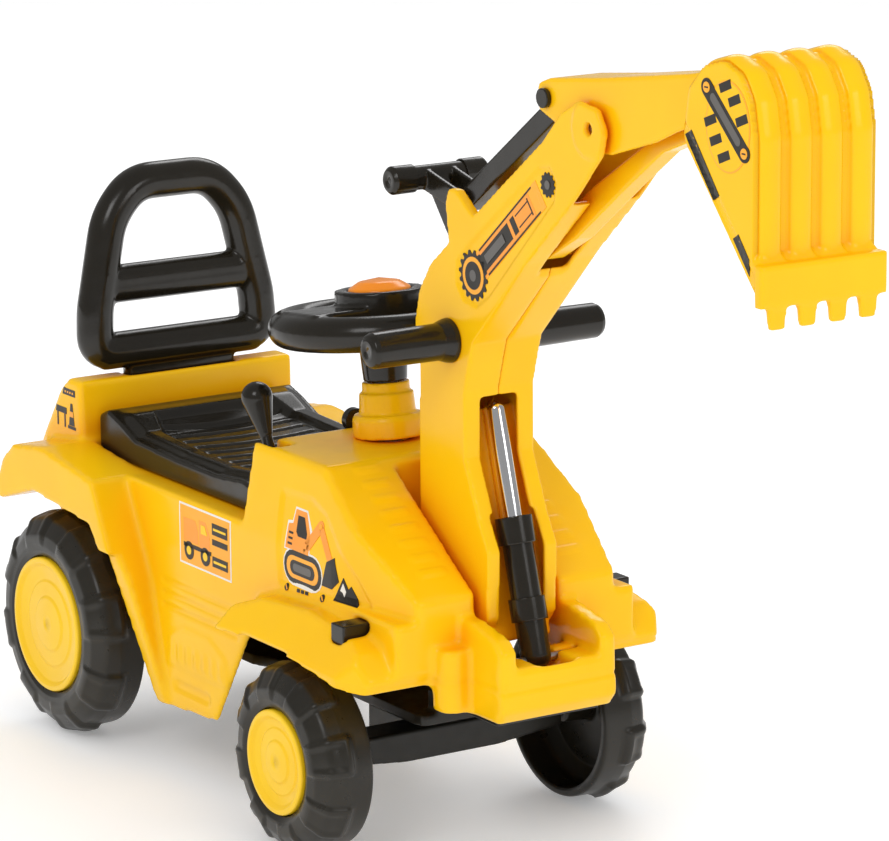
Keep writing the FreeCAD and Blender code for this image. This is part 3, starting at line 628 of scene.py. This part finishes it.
def add_side_labels(shell):
    """A truck beside plain bars, in a bordered field under the seat."""
    box, cab, pane, bar = side_truck(24, 172)
    edge = [(-56, 173), (-56, 221), (23, 221), (23, 173)]
    field = [(-54.4, 174.6), (-54.4, 219.4), (21.4, 219.4), (21.4, 174.6)]
    wheels = [disc(8, 185, 7.2), disc(-17, 185, 7.2)]
    rims = [disc(8, 185, 3.4), disc(-17, 185, 3.4)]
    blocks = [
        [(-28, 205), (-28, 214), (-51, 214), (-51, 205)],
        [(-28, 197), (-28, 201.5), (-51, 201.5), (-51, 197)],
        [(-28, 180), (-28, 188), (-51, 188), (-51, 180)]]
    lines = [strip((-30, 184), (-49, 184), 1.0, False),
             strip((-30, 209.5), (-49, 209.5), 0.9, False)]
    picture("side_label", shell, "rolling_body", [
        (INK_WHITE, "yellow_plastic", 0.25, [edge]),
        (INK_AMBER, "yellow_plastic", 0.40, [field]),
        (INK_ORANGE, "orange_plastic", 0.55, [box, cab]),
        (INK, "black_plastic", 0.70, wheels + [bar] + blocks),
        (HUB_YELLOW, "yellow_plastic", 0.85, rims + [pane] + lines)])


def add_cheek_labels(shell):
    """An excavator and a snowy hill, over screw heads and dashes."""
    track = strip((-145, 205.5), (-173, 205.5), 12.5)
    gap = strip((-145, 205.5), (-173, 205.5), 8.6)
    inner = strip((-147, 205.5), (-171, 205.5), 5.4)
    core = strip((-149, 205.5), (-169, 205.5), 3.0)
    cab = [(-134, 218), (-135, 236), (-141, 237), (-143, 248), (-158, 248),
           (-166, 234), (-167, 218)]
    glass = [(-147, 232), (-147, 244), (-156, 244), (-162, 233),
             (-162, 229), (-150, 229)]
    vents = [strip((-137, 222 + 4 * i), (-143, 222 + 4 * i), 0.8, False)
             for i in range(3)]
    boom = strip((-162, 222), (-179, 242), 4.2)
    arm = strip((-179, 242), (-200, 217), 3.2)
    joints = [disc(-179, 242, 2.2, 16)]
    scoop = [(-193, 219), (-203, 224), (-208, 207), (-200, 200),
             (-186, 200)]
    halo = [strip((-145, 205.5), (-173, 205.5), 14.0),
            [(-132.5, 217), (-133.5, 238), (-140, 239), (-142, 249.5),
             (-158.5, 249.5), (-168, 236), (-168, 217)]]
    hill = [(-203, 192.6), (-208, 202), (-213, 211), (-218, 203),
            (-221, 206), (-232, 193)]
    snow = [(-210, 201), (-213, 207), (-216, 201), (-214.4, 197),
            (-212.6, 200)]
    heads = [disc(-138, 188.5, 2.7, 20), disc(-189, 191, 2.7, 20)]
    slots = [strip((-139.6, 187), (-136.4, 190), 0.6, False),
             strip((-190.6, 189.5), (-187.4, 192.5), 0.6, False)]
    dashes = [strip((-153, 189.2), (-157, 189.4), 1.2, False),
              strip((-159, 189.5), (-163, 189.7), 1.2, False),
              strip((-165, 189.8), (-169, 190), 1.2, False)]
    picture("cheek_label", shell, "rolling_body", [
        (INK_WHITE, "yellow_plastic", 0.25, halo),
        (INK_ORANGE, "orange_plastic", 0.40, [cab, boom, arm]),
        (INK, "black_plastic", 0.55, [track, glass, scoop, hill]
         + vents + heads + dashes),
        (INK_AMBER, "yellow_plastic", 0.70, [gap] + joints + slots),
        (INK_WHITE, "yellow_plastic", 0.80, [snow]),
        (INK, "black_plastic", 0.85, [inner]),
        (INK_GREY, "black_plastic", 1.0, [core])])


def add_corner_labels(shell):
    """A header bar over a cone and a barrier, on the block's sides."""
    bar = [(201, 268), (201, 273.5), (222, 273.5), (222, 268)]
    cone = [(203, 244), (206, 262), (209, 262), (212, 244)]
    foot = [(201, 241), (201, 243.5), (214, 243.5), (214, 241)]
    board = [(216, 252), (216, 257), (234, 257), (234, 252)]
    legs = [[(218, 241), (218, 252), (220, 252), (220, 241)],
            [(230, 241), (230, 252), (232, 252), (232, 241)]]
    band = [(204.2, 251), (205, 255.5), (210, 255.5), (210.8, 251)]
    dashes = [strip((204 + 4 * i, 270.7), (206 + 4 * i, 270.7), 0.8, False)
              for i in range(4)]
    picture("corner_label", shell, "rolling_body", [
        (INK, "black_plastic", 0.3, [bar, cone, foot, board] + legs),
        (INK_AMBER, "yellow_plastic", 0.45, [band] + dashes)])


def add_body():
    """The body with its pictures, and what is fixed to it."""
    shell = add_moulding("body_moulding", "body_shell", "rolling_body",
                         YELLOW, 2.4, 9, body_relief)
    add_side_labels(shell)
    add_cheek_labels(shell)
    add_corner_labels(shell)
    add_moulding("collar_moulding", "column_collar", "rolling_body",
                 YELLOW, 1.0, 5)
    add_moulding("seat_moulding", "seat_lid", "seat", BLACK,
                 1.5, 8, seat_relief)
    add_moulding("pan_moulding", "chassis_pan", "rolling_body",
                 SATIN, 2.0, 3)
    add_moulding("bin_moulding", "storage_bin", "rolling_body",
                 SATIN, 1.6, 3)
    for side in ("left", "right"):
        add_moulding("peg_" + side, "side_peg_" + side, "rolling_body",
                     BLACK, 0.8, 5)
    add_moulding("key_moulding", "key_knob", "key", BLACK,
                 0.6, 3)
    add_moulding("gear_moulding", "gear_lever", "gear",
                 BLACK, 0.7, 4)


# ---- backrest -----------------------------------------------------------
def tube(points, radius, closed=False):
    """A smooth round bar through these points (mm: x, back, height)."""
    curve = bpy.data.curves.new("path", "CURVE")
    curve.dimensions = "3D"
    curve.bevel_depth = radius * MM
    curve.bevel_resolution = 8
    curve.use_fill_caps = True
    spline = curve.splines.new("POLY")
    spline.points.add(len(points) - 1)
    for point, place in zip(spline.points, points):
        point.co = (*at(*place), 1.0)
    spline.use_cyclic_u = closed
    holder = bpy.data.objects.new("path", curve)
    mesh = bpy.data.meshes.new_from_object(holder)
    bpy.data.objects.remove(holder)
    return mesh


def slab(low, high):
    """A box between two corners (mm: x, back, height)."""
    work = bmesh.new()
    bmesh.ops.create_cube(work, size=1.0)
    middle = (at(*low) + at(*high)) / 2
    size = at(*high) - at(*low)
    for vert in work.verts:
        vert.co = middle + Vector(c * s for c, s in zip(vert.co, size))
    mesh = bpy.data.meshes.new("slab")
    work.to_mesh(mesh)
    work.free()
    return mesh


def add_backrest():
    """The black loop with its two cross bars and its foot."""
    lean = math.tan(math.radians(3.0))

    def lay(outline):
        return [(x, 206 + (z - 284) * lean, z) for x, z in outline]

    loop = filleted([(-76, 301, 16), (-74, 335, 60), (-58, 408, 60),
                     (-34, 434.5, 40), (34, 434.5, 40), (58, 408, 60),
                     (74, 335, 60), (76, 301, 16)], 20, steps=8)
    meshes = [tube(lay(loop), 15.0, closed=True)]
    for z, reach, r in ((351, 66, 12), (358, 66, 12), (300, 70, 14)):
        meshes.append(tube(lay([(-reach, z), (reach, z)]), r))
    meshes.append(slab((-48, 199, 264), (48, 213, 300)))
    mesh = softened(joined(*meshes), 1.6, 10)
    finished("backrest_loop", mesh, BLACK, "rolling_body",
             ("backrest",))


# ---- wheels -------------------------------------------------------------
def add_wheel(which, side_name):
    """A hollow black wheel with raised tread pads, and its yellow hub."""
    size = WHEELS[which]
    rim = size["radius"]
    hub_r = size["hub"]
    node_name = "%s_wheel_%s" % (which, side_name)
    body = "%s_%s" % (which, side_name)
    low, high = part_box(which + "_axle")
    sign = 1 if side_name == "left" else -1
    centre = Vector((sign * size["track"] * MM, (low[1] + high[1]) / 2,
                     rim * MM))
    axis = (sign, 0, 0)
    outer = filleted([
        (-22, rim - 11, 0), (-22, rim - 4.2, 3), (1, rim - 3.4, 6),
        (13, rim - 6.0, 8), (20.5, rim - 17, 8), (22, rim - 26, 10),
        (21.6, hub_r + 5, 4), (19.6, hub_r + 0.6, 1.2),
        (13.4, hub_r + 0.4, 1), (13.4, 8, 1), (13, 5.4, 0), (-17, 5.4, 0),
        (-17, 11, 1), (8, 13, 3), (8.5, rim - 22, 5), (1, rim - 10, 6)],
        2.0, steps=5)
    dense = []
    for i, point in enumerate(outer):
        before = outer[i - 1]
        gap = math.dist(before, point)
        parts = max(1, int(gap / 2.2))
        for k in range(parts):
            t = (k + 1) / parts
            dense.append((before[0] + (point[0] - before[0]) * t,
                          before[1] + (point[1] - before[1]) * t))

    def pad(along, r, angle):
        if r < rim - 30 or along < -7 or (r < rim - 9 and along < 12):
            return along, r
        phase = (angle * TREAD_PADS / (2 * math.pi)) % 1.0
        lift = float(step(np.float64(phase), 0.04, 0.09)
                     * (1 - step(np.float64(phase), 0.58, 0.63)))
        dent = float(step(np.float64(phase), 0.15, 0.19)
                     * (1 - step(np.float64(phase), 0.48, 0.52)))
        across = float(step(np.float64(along), -6.0, -2.5))
        wall = float(step(np.float64(r), rim - 28, rim - 22))
        bed = float(step(np.float64(r), rim - 20, rim - 15)
                    * step(np.float64(along), 1.0, 4.0))
        rise = 3.4 * lift * across * wall - 1.3 * dent * across * bed
        tilt = min(max((along - 2) / 18.0, 0.0), 1.0) * 1.2
        return along + rise * math.sin(tilt) * 0.55, r + rise * math.cos(tilt)

    mesh = lathe(dense, centre, axis, turns=240, closed=True, relief=pad)
    finished(node_name + "_tyre", mesh, TYRE, body,
             (node_name,))
    cap = filleted([
        (13.6, 7.4, 0), (13.6, hub_r - 0.3, 0.5), (22.6, hub_r - 0.3, 2.0),
        (23.0, hub_r - 4.5, 2.0), (20.0, hub_r - 7.5, 2.5),
        (17.9, hub_r * 0.66, 3), (19.0, hub_r * 0.62, 1.5),
        (19.0, hub_r * 0.42, 2), (20.4, hub_r * 0.38, 2),
        (20.9, 9.0, 3), (22.3, 0.02, 0), (20.7, 0.02, 0), (18.9, 7.4, 0)],
        1.5, steps=4)
    mesh = lathe(cap, centre, axis, turns=128, closed=True)
    finished(node_name + "_hub", mesh, HUB_YELLOW, body,
             ("%s_hub_%s" % (which, side_name),))


def add_axles():
    """The axle rods and their domed caps."""
    for which, size in WHEELS.items():
        half = size["rod_half"]
        body = size["body"]
        low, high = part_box(which + "_axle")
        centre = Vector((0, (low[1] + high[1]) / 2, size["radius"] * MM))
        rod = filleted([(-half, 0), (-half, 5, 0.6), (half, 5, 0.6),
                        (half, 0)], 0.6, closed=False)
        finished(which + "_axle_rod", lathe(rod, centre, (1, 0, 0), 48),
                 STEEL, body, (which + "_axle",))
        caps = []
        for sign in (1, -1):
            face = half + 1.0
            dome = filleted([(face - 6, 5.05, 0), (face - 6, 7.4, 0.5),
                             (face - 3.5, 7.4, 1), (face - 1.0, 5.0, 2),
                             (face, 0, 0)], 1.0, closed=False)
            caps.append(lathe(dome, centre, (sign, 0, 0), 48))
        finished(which + "_axle_caps", joined(*caps), STEEL, body,
                 (which + "_axle_nuts",))


# ---- steering wheel and dash --------------------------------------------
def on_column(distance):
    """A point up the steering column, in mm from its foot."""
    return at(*COLUMN_FOOT) + LEAN * distance * MM


def add_steering():
    """The steering wheel, its sleeve, the front beam and the horn."""
    mesh = softened(cad_mesh("steering_wheel"), 1.3, 9)
    finished("wheel_moulding", mesh, BLACK, "steering",
             ("steering_wheel",))
    mesh = softened(cad_mesh("column_sleeve"), 0.8, 4)
    finished("sleeve_moulding", mesh, BLACK, "steering",
             ("column_sleeve",))
    mesh = softened(cad_mesh("front_axle_beam"), 1.4, 4)
    finished("beam_moulding", mesh, SATIN, "steering",
             ("front_axle_beam",))
    profile = filleted([(0, 20.9, 0), (0, 23.6, 0.8), (8.5, 23.6, 3),
                        (13.5, 15.5, 8), (16.2, 0, 0)], 2.0, 6,
                       closed=False)
    top = lathe(profile, on_column(104), LEAN, 96)
    finished("horn_dome", top, ORANGE, "horn",
             ("horn_button",))


# ---- boom, levers and cylinder ------------------------------------------
def grip(centre, sign, profile, name, cad, body):
    """A turned black grip that points out to one side."""
    mesh = lathe(filleted(profile, 1.2, 5), centre, (sign, 0, 0), 72,
                 closed=True)
    finished(name, mesh, BLACK, body, (cad,))


def add_boom_labels(halves):
    """A large gear that drives a long bar up to a small gear."""
    low, high = (-278, 437), (-373, 516)
    run = Vector((high[0] - low[0], high[1] - low[1])).normalized()
    rise = Vector((-run.y, run.x))

    def along(t, off=0.0):
        spot = Vector(low) + run * t + rise * off
        return (spot.x, spot.y)

    gear = toothed(*low, 18.5, 16, 2.6)
    ring = disc(*low, 13.6)
    hub = disc(*low, 10.2)
    eye = disc(*low, 4.2, 18)
    wheel = toothed(*high, 9.0, 12, 1.4)
    wheel_eye = disc(*high, 3.2, 16)
    beam = [along(10, -9), along(98, -9), along(98, 9), along(10, 9)]
    panel = [along(4, -11), along(112, -11), along(112, 11), along(4, 11)]
    body_bar = [along(14, -6.5), along(62, -6.5), along(62, 6.5),
                along(14, 6.5)]
    grey = [along(22, -3.4), along(52, -3.4), along(52, 3.4),
            along(22, 3.4)]
    tips = [[along(66, -6.5), along(72, -6.5), along(72, 6.5),
             along(66, 6.5)],
            [along(94, -6.8), along(95.4, -6.8), along(95.4, 6.8),
             along(94, 6.8)]]
    rails = [strip(along(18, 10), along(104, 10), 0.6, False),
             strip(along(18, -10), along(104, -10), 0.6, False),
             strip(along(74, -4.6), along(94, -4.6), 0.5, False),
             strip(along(74, 4.6), along(94, 4.6), 0.5, False)]
    picture("boom_label", halves, "boom", [
        (INK_AMBER, "yellow_plastic", 0.25, [panel]),
        (INK_ORANGE, "orange_plastic", 0.40, [beam]),
        (INK, "black_plastic", 0.55, [gear, wheel, body_bar] + tips
         + rails),
        (INK_AMBER, "yellow_plastic", 0.70, [ring]),
        (INK, "black_plastic", 0.85, [hub]),
        (INK_GREY, "black_plastic", 1.0, [grey, eye, wheel_eye])])


def add_bucket_labels(bucket):
    """An oval of short bars behind a pinned strut, and two edge bands."""
    oval = disc(-611, 590, 30, 40, 0.80)
    field = disc(-611, 590, 29, 40, 0.79)
    reach = Vector((-0.93, 0.36)) * 6.5
    hatches = []
    for place in ((-608, 616), (-618, 608), (-626, 596),
                  (-592, 592), (-598, 580), (-607, 570)):
        middle = Vector(place)
        hatches.append(strip(middle - reach, middle + reach, 3.0, False))
    bar = strip((-588, 613), (-629, 575), 6.0)
    grey = strip((-595, 607), (-622, 582), 3.0)
    pins = [disc(-588, 613, 3.6, 18), disc(-629, 575, 3.6, 18)]
    slots = [strip((-590, 613), (-586, 613), 0.5, False),
             strip((-631, 575), (-627, 575), 0.5, False)]
    edges = [[(-563, 579), (-571, 583), (-602, 544), (-595, 540)],
             [(-616, 518), (-623, 522), (-635, 507), (-634, 496)]]
    picture("bucket_label", bucket, "bucket_body", [
        (INK_AMBER, "yellow_plastic", 0.25, [oval]),
        (YELLOW, "yellow_plastic", 0.33, [field]),
        (INK, "black_plastic", 0.42, hatches + edges),
        (INK, "black_plastic", 0.55, [bar]),
        (INK_GREY, "black_plastic", 0.70, [grey]),
        (INK_AMBER, "yellow_plastic", 0.85, pins),
        (INK, "black_plastic", 1.0, slots)])


def add_boom():
    """The boom's halves, grips, levers, stick, link and bucket."""
    halves = {}
    for side in ("left", "right"):
        halves[side] = add_moulding(
            "boom_moulding_" + side, "boom_shell_" + side, "boom",
            YELLOW, 1.5, 6, boom_relief)
    add_boom_labels(halves)
    centre = at(*LOWER_GRIPS)
    for name, sign in (("left", 1), ("right", -1)):
        grip(centre, sign, [
            (30.3, 9.3, 0), (30.3, 16.6, 0.8), (34, 15.9, 2),
            (41, 13.6, 4), (95, 13.0, 1), (98.6, 11.4, 3), (100, 7.5, 2),
            (100, 0.02, 0), (94, 0.02, 0), (94, 9.3, 0)],
            "lower_grip_sleeve_" + name, "lower_grip_" + name, "boom")
    centre = at(*UPPER_GRIPS)
    for name, sign in (("left", 1), ("right", -1)):
        grip(centre, sign, [
            (21, 9.3, 0), (21, 10.4, 0.5), (38.5, 10.5, 2), (41.2, 8, 2),
            (41.5, 0.02, 0), (27.4, 0.02, 0), (27.4, 9.3, 0)],
            "upper_grip_sleeve_" + name, "upper_grip_" + name, "lever")
    add_moulding("lever_moulding", "hand_lever", "lever",
                 BLACK, 0.8, 4)
    add_moulding("rod_moulding", "control_rod", "rod",
                 BLACK, 0.8, 4)
    add_moulding("stick_moulding", "stick", "stick_body",
                 YELLOW, 1.3, 6)
    add_moulding("tail_pin_moulding", "stick_tail_pin", "stick_body",
                 BLACK, 0.6, 3)
    add_moulding("link_moulding", "bucket_link", "link",
                 YELLOW, 0.9, 4)
    bucket = add_moulding("bucket_moulding", "bucket", "bucket_body",
                          YELLOW, 1.3, 8, bucket_relief)
    add_bucket_labels(bucket)


def add_cylinder():
    """The black barrel with its rings, and the chrome rod."""
    foot = at(*CYLINDER_FOOT)
    line = at(*CYLINDER_HEAD) - foot
    length = line.length / MM
    line.normalize()
    mesh = softened(cad_mesh("cylinder_barrel"), 0.7, 4)
    finished("barrel_moulding", mesh, BLACK, "barrel",
             ("cylinder_barrel",))
    for name in ("upper", "lower"):
        mesh = softened(cad_mesh("cylinder_ring_" + name), 0.5, 3)
        finished("ring_moulding_" + name, mesh, BLACK, "barrel",
                 ("cylinder_ring_" + name,))
    rod = filleted([(44, 0, 0), (44, 6.65, 0.6), (length, 6.65, 5),
                    (length + 6.6, 0, 0)], 0.6, 6, closed=False)
    finished("piston_rod", lathe(rod, foot, line, 96), CHROME, "piston",
             ("cylinder_rod",))


def paint_plain_nodes():
    """Give the CAD nodes that stay their material."""
    for name in ("seat_hinge_pins", "pan_screws", "steering_column",
                 "horn_spring", "gear_lever_pin", "boom_pivot_pin",
                 "lever_pivot_pin", "link_foot_pin", "stick_pivot_pin",
                 "grip_tube", "rod_joint_pin", "bucket_pin",
                 "link_head_pin", "cylinder_foot_pin"):
        mesh = nodes[name].data
        mesh.materials.clear()
        mesh.materials.append(STEEL)


set_camera()
set_studio()
add_body()
add_backrest()
for side_name in ("left", "right"):
    add_wheel("rear", side_name)
    add_wheel("front", side_name)
add_axles()
add_steering()
add_boom()
add_cylinder()
paint_plain_nodes()
